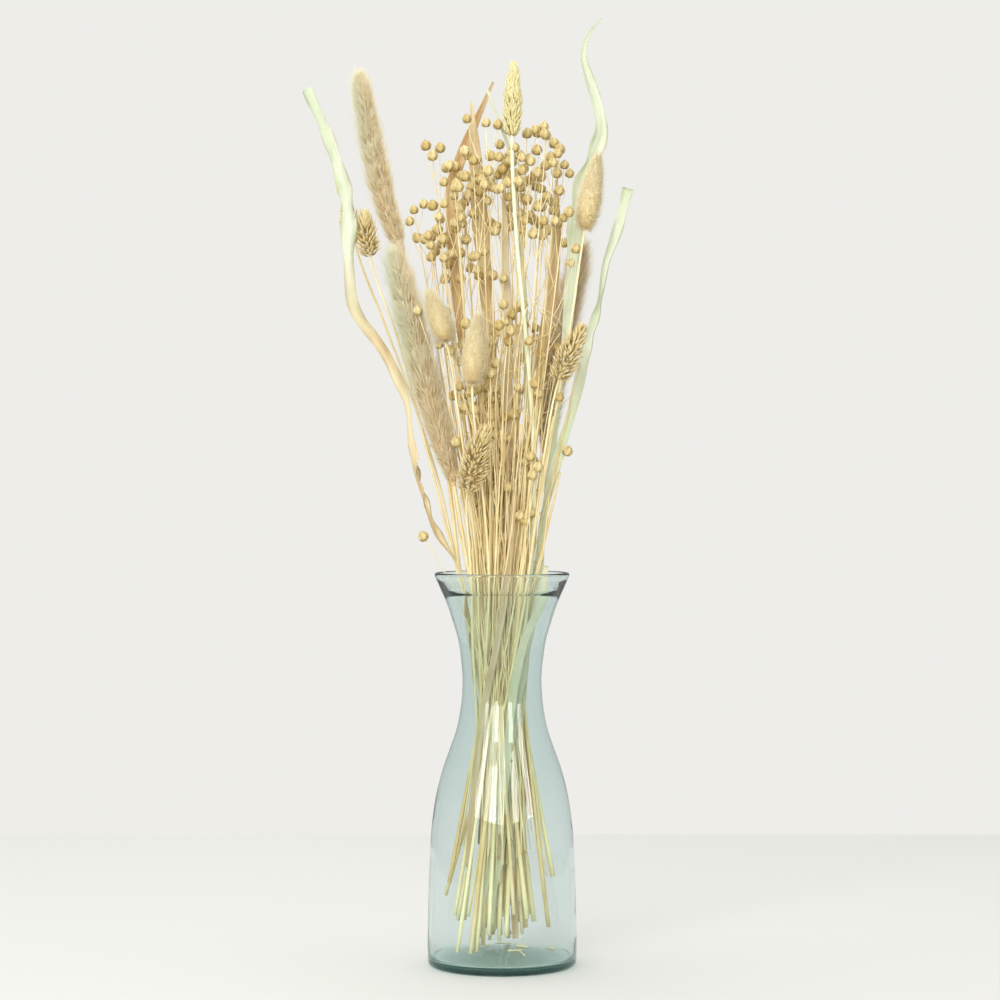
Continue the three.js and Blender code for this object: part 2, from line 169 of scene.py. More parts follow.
class Heap:
    """The shells of one piece, with the tone and grain of each point, until the piece is made.

    tone is (place along, a chance shade, a mark) from 0 to 1. grain is (across, along, chance) in mm.
    """

    def __init__(self):
        self.verts, self.quads, self.tris, self.tone, self.grain = [], [], [], [], []
        self.finish, self.size = [], 0

    def add(self, shape, tone, grain, finish=0):
        """Adds a shape. finish is the place of its material among those that make is given."""
        verts, quads, tris = shape
        self.verts.append(verts)
        self.quads.append(quads + self.size)
        self.tris.append(tris + self.size)
        self.finish.append((finish, len(quads), len(tris)))
        self.tone.append(np.stack(np.broadcast_arrays(*tone, np.ones(len(verts))), -1))
        self.grain.append(np.stack(np.broadcast_arrays(*grain, np.ones(len(verts))), -1)[:, :3])
        self.size += len(verts)

    def make(self, name, materials, replaces=()):
        """Joins the shells as one object that rides on the frame."""
        quads, tris = np.concatenate(self.quads), np.concatenate(self.tris)
        sides = np.repeat([4, 3], [len(quads), len(tris)])
        starts = np.concatenate([[0], np.cumsum(sides)[:-1]])
        corners = np.concatenate([quads.ravel(), tris.ravel()])
        finishes = [np.full(q, f) for f, q, t in self.finish] + [np.full(t, f) for f, q, t in self.finish]
        mesh = bpy.data.meshes.new(name)
        mesh.vertices.add(self.size)
        mesh.vertices.foreach_set("co", (np.concatenate(self.verts) * MM).astype(np.float32).ravel())
        mesh.loops.add(len(corners))
        mesh.loops.foreach_set("vertex_index", corners.astype(np.int32))
        mesh.polygons.add(len(sides))
        mesh.polygons.foreach_set("loop_start", starts.astype(np.int32))
        mesh.polygons.foreach_set("use_smooth", np.ones(len(sides), bool))
        mesh.polygons.foreach_set("material_index", np.concatenate(finishes).astype(np.int32))
        tone = mesh.attributes.new("tone", "FLOAT_COLOR", "POINT")
        tone.data.foreach_set("color", np.concatenate(self.tone).astype(np.float32).ravel())
        grain = mesh.attributes.new("grain", "FLOAT_VECTOR", "POINT")
        grain.data.foreach_set("vector", np.concatenate(self.grain).astype(np.float32).ravel())
        mesh.update(calc_edges=True)
        for material in materials:
            mesh.materials.append(material)
        piece = bpy.data.objects.new(name, mesh)
        bpy.context.scene.collection.objects.link(piece)
        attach(piece, "root")
        if replaces:
            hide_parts(*replaces)


def add_tubes(heap, paths, radii, sides, shade, mark=0.0, finish=0, flat=1.0):
    """Adds tubes to a heap, with their grain running along them."""
    m, n, _ = paths.shape
    corners = (m, n, sides)
    radii = np.broadcast_to(radii, (m, n))
    travel = lengths_along(paths)
    along = per_corner(travel[..., None], corners)
    girth = per_corner(radii[..., None] * turns(sides), corners)
    share = per_corner((travel / travel[:, -1:])[..., None], corners)
    chance = per_corner(np.broadcast_to(shade, m)[:, None, None], corners)
    mark = per_corner(np.broadcast_to(mark, (m, n))[..., None], corners)
    grain = (girth, along, chance * GRAIN_SHIFT)
    heap.add(tubes(paths, radii, sides, flat), (share, chance, mark), grain, finish)


def add_spikes(heap, roots, tips, width, shade, mark=0.0, finish=0):
    """Adds hairs: each is a closed three-sided spike from its root to its tip."""
    m = len(roots)
    ahead = unit(tips - roots)
    side = unit(np.cross(ahead, rng.normal(size=(m, 3))))
    spread = circle(side, np.cross(ahead, side), turns(3))
    half = np.broadcast_to(width, m)[:, None, None] / 2
    verts = np.concatenate([roots[:, None] + half * spread, tips[:, None]], 1).reshape(-1, 3)
    base = np.arange(m)[:, None, None] * 4
    tris = (base + np.array([[0, 1, 3], [1, 2, 3], [2, 0, 3], [0, 2, 1]])).reshape(-1, 3)
    place = np.tile([0.0, 0, 0, 1], m)
    shade, mark = (np.repeat(np.broadcast_to(v, m), 4) for v in (shade, mark))
    length = np.repeat(np.linalg.norm(tips - roots, axis=1), 4)
    shape = (verts, np.empty((0, 4), int), tris)
    heap.add(shape, (place, shade, mark), (0.0, place * length, shade * GRAIN_SHIFT), finish)


def add_scales(heap, at, ahead, outward, length, width, thick, shade, finish=0, bow=0.15):
    """Adds husks: flat pointed scales, each a shell of six-cornered rings.

    At a share t of the way from root to tip, the half width goes as sin(pi t^0.72)^0.8, and the
    thickness follows it. The scale bows outward by bow times its length.
    """
    m = len(at)
    ahead = unit(ahead)
    outward = unit(outward - ahead * (outward * ahead).sum(-1, keepdims=True))
    across = np.cross(ahead, outward)
    t = np.array([0.03, 0.2, 0.42, 0.66, 0.86, 0.98])
    swell = np.sin(np.pi * t**0.72) ** 0.8
    turn = turns(6)
    each = lambda v: np.broadcast_to(v, m)[:, None, None, None]
    keel = np.where(np.sin(turn) > 0.1, 1.0, 0.55)
    flank = (swell[:, None] * np.cos(turn))[None, :, :, None] * across[:, None, None]
    swelling = (swell[:, None] * np.sin(turn) * keel)[None, :, :, None] * outward[:, None, None]
    offset = each(width) / 2 * flank + each(thick) / 2 * swelling
    spine = at[:, None] + np.broadcast_to(length, m)[:, None, None] * (
        t[None, :, None] * ahead[:, None] + bow * np.sin(np.pi * t)[None, :, None] * outward[:, None])
    tip = at + ahead * np.broadcast_to(length, m)[:, None]
    corners = (m, len(t), len(turn))
    place = per_corner(t[:, None], corners)
    edge = per_corner(np.cos(turn), corners)
    back = np.clip(per_corner(np.sin(turn), corners), 0, 1)
    chance = per_corner(np.broadcast_to(shade, m)[:, None, None], corners)
    grain = (edge * 2, place * 8, chance * GRAIN_SHIFT)
    heap.add(shells(spine[:, :, None] + offset, at, tip), (place, chance, back), grain, finish)


# ---- materials ----

def srgb(code):
    """An sRGB hex colour as linear red, green, blue and alpha."""
    c = np.array([int(code[i:i + 2], 16) for i in (1, 3, 5)]) / 255
    linear = np.where(c <= 0.04045, c / 12.92, ((c + 0.055) / 1.055) ** 2.4)
    return (*linear.tolist(), 1.0)


def put(tree, kind, settings=None, sockets=None):
    """Adds a node with its settings, and with values or links on its sockets. Gives its outputs."""
    new = tree.nodes.new(kind)
    for key, value in (settings or {}).items():
        setattr(new, key, value)
    for key, value in (sockets or {}).items():
        if isinstance(value, bpy.types.NodeSocket):
            tree.links.new(value, new.inputs[key])
        else:
            new.inputs[key].default_value = value
    return new.outputs


def blend_colours(tree, factor, first, second):
    """A colour between first and second, each a link or a hex code."""
    first, second = (srgb(c) if isinstance(c, str) else c for c in (first, second))
    return put(tree, "ShaderNodeMix", {"data_type": "RGBA"}, {0: factor, 6: first, 7: second})[2]


def calculate(tree, operation, *values, clamp=False):
    """A maths node on values, each a link or a number."""
    settings = {"operation": operation, "use_clamp": clamp}
    return put(tree, "ShaderNodeMath", settings, dict(enumerate(values)))[0]


def remap(tree, value, low, high, start=0.0, end=1.0):
    """The value, with its range from low to high carried over to start and end."""
    return put(tree, "ShaderNodeMapRange", None, {0: value, 1: low, 2: high, 3: start, 4: end})[0]


def noise(tree, vector, scale, detail, roughness=0.5, stretch=None):
    """Fractal noise from 0 to 1. stretch scales the vector first, by a factor each way."""
    if stretch:
        vector = put(tree, "ShaderNodeVectorMath", {"operation": "MULTIPLY"}, {0: vector, 1: stretch})[0]
    sockets = {"Vector": vector, "Scale": scale, "Detail": detail, "Roughness": roughness}
    return put(tree, "ShaderNodeTexNoise", None, sockets)[0]


def empty_material(name):
    """A material with an empty node tree."""
    material = bpy.data.materials.new(name)
    material.use_nodes = True
    material.node_tree.nodes.clear()
    return material, material.node_tree


def start_material(name):
    """An empty node material and the tone and grain that its pieces carry."""
    material, tree = empty_material(name)
    tone = put(tree, "ShaderNodeAttribute", {"attribute_name": "tone"})
    parts = put(tree, "ShaderNodeSeparateColor", None, {0: tone["Color"]})
    grain = put(tree, "ShaderNodeAttribute", {"attribute_name": "grain"})["Vector"]
    return material, tree, parts, grain


def end_material(tree, colour, roughness, specular, bump=None, depth=0.1, through=0.0, sheen=0.0):
    """Ends a material. bump is a height from 0 to 1, and depth its size in mm.

    through is the share of light that a thin dry wall lets through to its other side.
    """
    sockets = {
        "Base Color": colour, "Roughness": roughness, "Specular IOR Level": specular,
        "Sheen Weight": sheen, "Sheen Roughness": 0.5}
    if bump is not None:
        relief = {"Distance": depth * MM, "Height": bump, "Strength": 1.0}
        sockets["Normal"] = put(tree, "ShaderNodeBump", None, relief)[0]
    shader = put(tree, "ShaderNodeBsdfPrincipled", None, sockets)[0]
    if through:
        lit_through = put(tree, "ShaderNodeBsdfTranslucent", None, {"Color": colour})[0]
        shader = put(tree, "ShaderNodeMixShader", None, {0: through, 1: shader, 2: lit_through})[0]
    put(tree, "ShaderNodeOutputMaterial", None, {"Surface": shader})


def straw_look(name, pale, deep, green):
    """Dried straw: a thin cane that split into lengthwise fibres as it dried.

    Fibres run along it about 0.3 mm apart, and its colour drifts every few centimetres between pale
    and deep. The mark tone turns it greener, as the lower stems are.
    """
    material, tree, tone, grain = start_material(name)
    fibres = noise(tree, grain, 1.6, 3.0, stretch=(2.4, 0.05, 1))
    drift = noise(tree, grain, 1.0, 2.0, stretch=(0.05, 0.03, 1))
    shade = remap(tree, calculate(tree, "MULTIPLY_ADD", fibres, 0.9, drift), 0.6, 1.25, -0.3, 0.75)
    both = calculate(tree, "MULTIPLY_ADD", tone[1], 0.5, shade, clamp=True)
    dry = blend_colours(tree, both, pale, deep)
    fresh = blend_colours(tree, shade, green, pale)
    colour = blend_colours(tree, tone[2], dry, fresh)
    end_material(tree, colour, 0.5, 0.4, fibres, 0.12)
    return material


def fluff_look(name, root, tip, fresh):
    """Seed hair: fine, soft and half see-through, so it is palest where single hairs stand free."""
    material, tree, tone, _ = start_material(name)
    place = calculate(tree, "MULTIPLY_ADD", tone[1], 0.35, tone[0], clamp=True)
    dry = blend_colours(tree, place, root, tip)
    greened = calculate(tree, "MULTIPLY", tone[2], remap(tree, tone[0], 0.0, 1.0, 0.35, 1.0))
    colour = blend_colours(tree, greened, dry, fresh)
    end_material(tree, colour, 0.8, 0.2, through=0.3, sheen=0.25)
    return material


def husk_look(name, edge, keel, root):
    """Papery grass husk: a dry folded scale, pale at its edges, darker along its keel and at its root."""
    material, tree, tone, grain = start_material(name)
    body = blend_colours(tree, tone[1], edge, keel)
    rooted = blend_colours(tree, remap(tree, tone[0], 0.05, 0.6, 0.9, 0.0), body, root)
    colour = blend_colours(tree, remap(tree, tone[2], 0.55, 0.9, 0.0, 0.55), rooted, keel)
    veins = noise(tree, grain, 1.5, 2.0)
    end_material(tree, colour, 0.6, 0.3, veins, 0.15, through=0.3)
    return material


def pod_look(name, pale, deep, seam):
    """Flax pod: a thin hard shell in five lobes, dull tan, with darker seams and a speckled bloom."""
    material, tree, tone, grain = start_material(name)
    speckle = noise(tree, grain, 0.9, 4.0)
    shade = remap(tree, calculate(tree, "MULTIPLY_ADD", tone[1], 0.7, speckle), 0.45, 1.25)
    body = blend_colours(tree, shade, pale, deep)
    colour = blend_colours(tree, tone[2], body, seam)
    end_material(tree, colour, 0.55, 0.4, speckle, 0.1)
    return material


def blade_look(name, pale, deep, green):
    """Dried leaf blade: parallel veins in bands 1 to 2 mm apart, tan patches where it dried first."""
    material, tree, tone, grain = start_material(name)
    veins = noise(tree, grain, 1.1, 5.0, 0.7, stretch=(0.5, 0.008, 1))
    patch = noise(tree, grain, 1.0, 3.0, stretch=(0.12, 0.016, 1))
    shade = remap(tree, calculate(tree, "MULTIPLY_ADD", veins, 0.8, patch), 0.68, 1.08)
    dry = blend_colours(tree, shade, pale, deep)
    fresh = blend_colours(tree, shade, green, "#f0f2e0")
    colour = blend_colours(tree, tone[2], dry, fresh)
    crumple = noise(tree, grain, 1.0, 3.0, stretch=(0.3, 0.11, 1))
    height = calculate(tree, "MULTIPLY_ADD", crumple, 3.0, veins)
    end_material(tree, colour, 0.5, 0.35, height, 0.4, through=0.3)
    return material


def recycled_glass(name):
    """Recycled soda glass, blown in a mould: fire-polished and clear, tinted blue-green in its depth.

    The tint is light lost inside the glass, so the thick ring and the heel are the darkest. Light
    on its way to or from a dull surface passes straight through, so that the stalks inside are lit.
    """
    material, tree = empty_material(name)
    waves = noise(tree, put(tree, "ShaderNodeTexCoord")["Object"], 45.0, 1.0)
    uneven = put(tree, "ShaderNodeBump", None, {"Height": waves, "Distance": 0.25 * MM, "Strength": 0.6})[0]
    glass = put(tree, "ShaderNodeBsdfPrincipled", None, {
        "Base Color": srgb("#fafdfd"), "Transmission Weight": 1.0, "IOR": 1.52, "Roughness": 0.0,
        "Normal": uneven})[0]
    clear = put(tree, "ShaderNodeBsdfTransparent", None, {"Color": srgb("#fbfdfc")})[0]
    path = put(tree, "ShaderNodeLightPath")
    scattered = put(tree, "ShaderNodeMixShader", None, {0: path["Is Diffuse Ray"], 1: glass, 2: clear})[0]
    surface = put(tree, "ShaderNodeMixShader", None, {0: path["Is Shadow Ray"], 1: scattered, 2: clear})[0]
    tint = {"Color": (0.14, 0.46, 0.44, 1), "Density": 47.0}
    depth = put(tree, "ShaderNodeVolumeAbsorption", None, tint)[0]
    put(tree, "ShaderNodeOutputMaterial", None, {"Surface": surface, "Volume": depth})
    return material


STRAW = straw_look("dried_straw", "#fdf3c8", "#d8bc78", "#f6f0b8")
GREEN_STRAW = straw_look("pale_green_straw", "#f1f3d3", "#dad7a4", "#e9efd0")
PLUME_HAIR = fluff_look("foxtail_seed_hair", "#fde09a", "#fff8dc", "#eff6dc")
BROWN_HAIR = fluff_look("brown_seed_hair", "#f8dca6", "#fff5da", "#fff5da")
TAIL_HAIR = fluff_look("bunny_tail_hair", "#ffe9a8", "#fff9da", "#fff9da")
SEED_HUSK = husk_look("canary_grass_husk", "#fff9d6", "#e8d494", "#b08a44")
GREEN_HUSK = husk_look("pale_canary_grass_husk", "#fffcd8", "#f2e8ac", "#d6c27c")
POD = pod_look("flax_pod_shell", "#efe0aa", "#c3a963", "#947840")
GREEN_BLADE = blade_look("pale_green_leaf", "#f6ebc8", "#d9b672", "#d3dfbc")
TAN_BLADE = blade_look("tan_leaf", "#f3e2b8", "#cfaa70", "#e3e6c6")
BROWN_BLADE = blade_look("brown_leaf_sheath", "#e8cc9a", "#b88f5c", "#e8cc9a")
GLASS = recycled_glass("recycled_glass")


# ---- the carafe ----

# Outer radius and height in mm, from the heel to the lip.
OUTER = np.array([
    [51.1, 4.7], [51.2, 11], [51.0, 32], [50.3, 59], [49.8, 73], [49.0, 87], [47.8, 100], [46.9, 107],
    [44.4, 121], [40.9, 134.5], [36.2, 148], [31.4, 162], [28.5, 176], [27.2, 189], [27.1, 200],
    [28.0, 210], [30.1, 224], [33.9, 237], [38.7, 251], [41.8, 258], [44.8, 264.8], [46.2, 268]])
# Heights and wall thicknesses in mm: thin in the body, thicker from the shoulder up the neck, and
# thickest in the ring, which ends in a ledge below the lip.
WALL = np.array([
    [6, 3.2], [20, 2.4], [66, 2.2], [110, 2.9], [140, 4.1], [176, 4.3], [200, 4.2], [226, 4.4],
    [238, 4.7], [247, 5.0], [254.5, 5.2], [256.0, 4.9], [257.4, 4.2], [258.8, 3.8], [268, 2.5]])
CARAFE_STEPS = 144


def outer_radius(z):
    """The carafe's outer radius at heights z."""
    return smooth(OUTER[:, 1], OUTER[:, 0], z)[:, 0]


def dome(r, reach):
    """The height of the carafe's inner floor at r from its middle: 13 mm there and 5 mm at reach."""
    return 5.0 + 8.0 * (1 - (r / reach) ** 2)


def carafe_outline():
    """The section from the underside's middle, up the outside, over the lip and down to the floor."""
    quarter = np.linspace(0, np.pi / 2, 12)
    under = np.stack([np.linspace(4, 44, 9), np.zeros(9)], 1)
    heel = np.stack([46.4 + 4.7 * np.sin(quarter), 4.7 * (1 - np.cos(quarter))], 1)
    z = np.concatenate([np.linspace(6, 267, 88), [268.0]])
    outside = np.stack([outer_radius(z), z], 1)
    half = np.linspace(0, np.pi, 9)[1:]
    lip = np.stack([44.9 + 1.35 * np.cos(half), 268.2 + 1.75 * np.sin(half)], 1)
    down = np.concatenate([np.linspace(266, 260, 6), np.linspace(259.6, 255.4, 14), np.linspace(252, 10, 72)])
    wall = np.interp(down, WALL[:, 0], WALL[:, 1])
    inside = np.stack([outer_radius(down) - wall, down], 1)
    corner = inside[-1]
    r = np.linspace(1, 0, 15)[1:] * (corner[0] - 1.4)
    floor = np.stack([r, dome(r, corner[0])], 1)
    bend = np.array([[corner[0] - 0.25, 7.6], [corner[0] - 0.75, 6.0]])
    return np.concatenate([under, heel, outside, lip, inside, bend, floor[:-1]])


def make_carafe():
    """Turns the outline about the carafe's axis: the point (r, z) goes to (r cos a, r sin a, z)."""
    outline = carafe_outline()
    turn = turns(CARAFE_STEPS)
    r, z = outline[:, 0][:, None], outline[:, 1][:, None]
    rings = np.stack(np.broadcast_arrays(r * np.cos(turn), r * np.sin(turn), z), -1)
    under, floor_top = np.array([[0, 0, 0.0]]), np.array([[0, 0, dome(0, 1)]])
    heap = Heap()
    heap.add(shells(rings[None], under, floor_top), (0.0, 0.0, 0.0), (0.0, 0.0, 0.0))
    heap.make("glass_carafe", [GLASS], ["carafe"])


make_carafe()


# ---- stalks ----

# Distance between the rings of a stem, mm.
STEM_STEP = 9.0


def greener(path, chance):
    """How green a stem is: more towards its foot and on the bunch's left."""
    low = 0.75 * np.clip((300 - path[..., 2]) / 170, 0, 1)
    left = np.clip(0.55 - path[..., 0] / 30, 0, 1)
    return low * np.clip(left * 0.8 + chance * 0.3, 0, 1)


def add_stem(heap, centre, top, foot_r, top_r, shade, finish=0, green=None):
    """Adds one stem that thins evenly from foot_r to top_r, with joints that bulge a little."""
    foot = centre[0, 2]
    path = route_at(centre, np.linspace(foot, top, int((top - foot) / STEM_STEP) + 2))
    share = np.linspace(0, 1, len(path))
    radii = foot_r + (top_r - foot_r) * share
    radii = radii * (1 + 0.12 * np.exp(-(((share * 5) % 1 - 0.5) / 0.05) ** 2))
    mark = greener(path, shade) if green is None else np.full(len(path), green)
    add_tubes(heap, path[None], radii[None], 8, shade, mark[None], finish)


def head_axis(centre, reach):
    """The heights of a head's foot and tip. The foot is the last thin ring below the wide ones."""
    first = int(np.argmax(reach > 1.6 * reach[0])) - 1
    return centre[first, 2], centre[-1, 2]


def on_axis(centre, low, high, t, turn):
    """A head's axis at shares t of its length: points, directions ahead, and out at an angle turn."""
    z = low + (high - low) * t
    ahead = unit(route_at(centre, z + 1.0) - route_at(centre, z - 1.0))
    side = unit(np.cross([0, 1.0, 0], ahead))
    return route_at(centre, z), ahead, leaning(side, np.cross(ahead, side), turn)


def grown(point, ahead, out, lean, rise, length, drift=0):
    """Roots and tips of hairs: rise is how far out from the axis they start, drift bends them."""
    root = point + out * rise[:, None]
    return root, root + length[:, None] * (leaning(ahead, out, lean) + drift)


def egg(t, skew, fullness):
    """The outline of an egg from 0 to 1, at places t from its foot to its tip."""
    return np.sin(np.pi * np.clip(t, 0, 1) ** skew) ** fullness


# reach: how far the hair stands from the axis, mm. fresh: how green it is. count: hairs in tufts.
FOXTAILS = {
    "foxtail_tall": {"reach": 11.5, "hair": PLUME_HAIR, "fresh": 0.6, "count": 8400},
    "foxtail_low": {"reach": 14.5, "hair": PLUME_HAIR, "fresh": 0.9, "count": 10200},
    "foxtail_back": {"reach": 13.5, "hair": BROWN_HAIR, "fresh": 0.0, "count": 8400},
}
FOXTAIL_SEEDS = 3600
TUFT_HAIRS = 12


def make_foxtail(name, reach, hair, fresh, count):
    """A foxtail: seeds packed about the stem, and free hair that leaves them in leaning tufts.

    The outline follows a long spindle. The seeds are stout spikes that point up and outward. Each
    tuft has its own place, lean and length, and its hairs spread a few degrees about it, so that
    the plume's edge is feathered.
    """
    centre, ring, _, _ = read_rings(name)
    low, high = head_axis(centre, ring)
    heap = Heap()
    add_stem(heap, centre, low + 20, 1.6, 1.0, 0.4)
    outline = lambda t: reach * np.interp(t, [0, 0.1, 0.4, 0.7, 0.88, 1], [0.35, 0.75, 1.0, 0.95, 0.8, 0.42])
    end = high - 6
    greened = lambda out, t: fresh * np.clip((t - 0.3) / 0.3, 0, 1) * np.clip(0.6 - out[..., 0] * 0.7, 0, 1)
    t = np.linspace(0, 1, 60)
    core, ahead, _ = on_axis(centre, low - 2, end + 2, t, t)
    core_green = greened(ahead * 0, t) * 0.6
    add_tubes(heap, core[None], (outline(t) * 0.36)[None], 16, 0.2, core_green[None], 1)
    seeds = FOXTAIL_SEEDS
    t = rng.random(seeds)
    point, ahead, out = on_axis(centre, low, end, t, rng.random(seeds) * 2 * np.pi)
    lean = np.radians(rng.uniform(16, 44, seeds))
    rise = outline(t) * rng.uniform(0.22, 0.36, seeds)
    root, tip = grown(point, ahead, out, lean, rise, outline(t) * rng.uniform(0.5, 0.95, seeds))
    width, shade = rng.uniform(0.6, 1.1, seeds), rng.random(seeds) * 0.5
    add_spikes(heap, root, tip, width, shade, greened(out, t) * 0.7, 1)
    tufts = count // TUFT_HAIRS
    pick = np.repeat(np.arange(tufts), TUFT_HAIRS)
    count = len(pick)
    t = np.clip(rng.random(tufts)[pick] ** 0.95 + rng.normal(0, 0.006, count), 0, 1)
    turn = rng.uniform(0, 2 * np.pi, tufts)[pick] + rng.normal(0, 0.2, count)
    point, ahead, out = on_axis(centre, low, end, t, turn)
    lean = np.radians(rng.uniform(16, 50, tufts))[pick] * (1 - 0.6 * t**5) + rng.normal(0, 0.12, count)
    rise = outline(t) * rng.uniform(0.3, 0.5, count)
    reach_out = rng.uniform(0.55, 1.0, tufts)[pick] * rng.uniform(0.7, 1.15, count)
    length = np.clip(outline(t) * 0.72 / np.sin(np.clip(lean, 0.35, 1)) * reach_out, 5, 20)
    root, tip = grown(point, ahead, out, lean, rise, length, rng.normal(0, 0.08, (count, 3)))
    shade = np.clip(rng.random(tufts)[pick] + rng.normal(0, 0.15, count), 0, 1)
    add_spikes(heap, root, tip, rng.uniform(0.14, 0.26, count), shade, greened(out, t), 1)
    heap.make(name + "_stalk", [STRAW, hair], [name])


for name, spec in FOXTAILS.items():
    make_foxtail(name, **spec)

# Each bunny tail's chance shade, and how many hairs and long bristles each has.
TAILS = {"bunny_tail_right": 0.2, "bunny_tail_left": 0.5, "bunny_tail_front": 0.35}
TAIL_HAIRS = 9000
TAIL_BRISTLES = 1500


def make_bunny_tail(name, shade):
    """A bunny tail: short hair packed on an egg about a thin stem, with longer bristles among it."""
    centre, ring, _, _ = read_rings(name)
    low, high = head_axis(centre, ring)
    end = high - 5
    outline = lambda t: egg(t * 0.96 + 0.01, 0.72, 0.7)
    heap = Heap()
    add_stem(heap, centre, low + 6, 1.0, 0.75, shade)
    count = TAIL_HAIRS
    t = rng.random(count)
    point, ahead, out = on_axis(centre, low, end, t, rng.random(count) * 2 * np.pi)
    lean = np.radians(np.interp(t, [0, 0.06, 0.3, 1], [112, 84, 54, 14]) + rng.normal(0, 11, count))
    rise = outline(t) * rng.uniform(5.2, 6.4, count)
    length = 2.0 + 3.6 * rng.random(count) ** 1.5
    root, tip = grown(point, ahead, out, lean, rise, length, rng.normal(0, 0.1, (count, 3)))
    add_spikes(heap, root, tip, rng.uniform(0.16, 0.34, count), rng.random(count) * 0.8, 0.0, 1)
    pick = rng.integers(0, count, TAIL_BRISTLES)
    root, way = root[pick], unit(tip - root)[pick]
    add_spikes(heap, root, root + way * rng.uniform(4, 9, TAIL_BRISTLES)[:, None], 0.13, 1.0, 0.0, 1)
    t = np.linspace(0, 1, 14)
    core, _, _ = on_axis(centre, low, end, t, t)
    add_tubes(heap, core[None], (6.3 * outline(t) + 0.3)[None], 20, 0.35, 0.0, 1)
    heap.make(name + "_stalk", [STRAW, TAIL_HAIR], [name])


for name, shade in TAILS.items():
    make_bunny_tail(name, shade)

# reach: how far the husks stand from the axis, mm. husks: how many to each mm of the head. splay:
# how widely they open, where 1 is 62 degrees at the foot of the head and 8 at its tip. stem: its
# radius at the foot and the top, mm.
CANARY_HEADS = {
    "canary_grass_top": {
        "reach": 8.6, "husks": 8.5, "splay": 0.55, "husk": GREEN_HUSK, "stem": (1.9, 1.3),
        "cane": GREEN_STRAW},
    "canary_grass_left_back": {"reach": 8.0},
    "canary_grass_left": {"reach": 8.5},
    "canary_grass_right": {"reach": 10.5, "husks": 5.4, "splay": 1.05},
    "canary_grass_front": {"reach": 13.0, "husks": 5.6, "splay": 1.15, "stem": (1.1, 0.8)},
}


def make_canary_head(name, reach, husks=5.0, splay=1.0, husk=SEED_HUSK, stem=(1.0, 0.7), cane=STRAW):
    """A canary grass head: husks packed in spirals on an egg, each pointing up and outward."""
    centre, ring, _, _ = read_rings(name)
    low, high = head_axis(centre, ring)
    heap = Heap()
    add_stem(heap, centre, low + 10, *stem, 0.4, green=0.7 if cane is GREEN_STRAW else None)
    count = int((high - low) * husks)
    t = ((np.arange(count) + 0.5) / count) ** 0.95
    turn = np.arange(count) * GOLDEN + rng.normal(0, 0.15, count)
    point, ahead, out = on_axis(centre, low, high - 6.5, t, turn)
    outline = egg(t * 0.9 + 0.06, 0.8, 0.6)
    lean = np.radians(np.interp(t, [0, 0.5, 1], [62, 44, 8]) * splay + rng.normal(0, 6, count) * splay)
    root = point + out * (outline * reach * rng.uniform(0.22, 0.42, count))[:, None]
    direction = leaning(ahead, out, lean)
    length = rng.uniform(6.4, 8.6, count) * (0.8 + 0.2 * outline)
    width, shade = rng.uniform(1.7, 2.4, count), rng.random(count)
    add_scales(heap, root, direction, out, length, width, 1.2, shade, 1, bow=0.08)
    heap.make(name + "_stalk", [cane, husk], [name])


for name, spec in CANARY_HEADS.items():
    make_canary_head(name, **spec)

# ---- leaves ----

# curl: depth of the gutter as a share of the width. green: how much stays green, foot to tip. The
# rest is explained in make_leaf.
LEAF_LOOKS = {
    "leaf_left": {
        "blade": GREEN_BLADE, "curl": 0.3, "green": (0.15, 1.0), "ruffle": 2.2, "blunt": 5.4,
        "turn": (430, 490), "pinch": 0.36},
    "leaf_right_tall": {
        "blade": GREEN_BLADE, "curl": 0.2, "green": (0.7, 1.0), "ruffle": 1.3, "pinch": 0.3,
        "steady": 80},
    "leaf_right": {
        "blade": GREEN_BLADE, "curl": 0.2, "green": (0.85, 1.0), "ruffle": 1.4, "blunt": 4.4,
        "pinch": 0.25},
    "leaf_thin": {"blade": GREEN_BLADE, "curl": 0.12, "green": (0.5, 1.0), "ruffle": 0.3},
    "leaf_broad": {"blade": TAN_BLADE, "curl": 0.14, "green": (0.0, 0.2), "ruffle": 0.5},
    "leaf_pointed": {"blade": TAN_BLADE, "curl": 0.2, "green": (0.0, 0.0), "ruffle": 0.6},
    "leaf_middle": {"blade": TAN_BLADE, "curl": 0.12, "green": (0.2, 0.5), "ruffle": 0.4},
    "leaf_tan": {"blade": TAN_BLADE, "curl": 0.14, "green": (0.0, 0.1), "ruffle": 0.5},
}


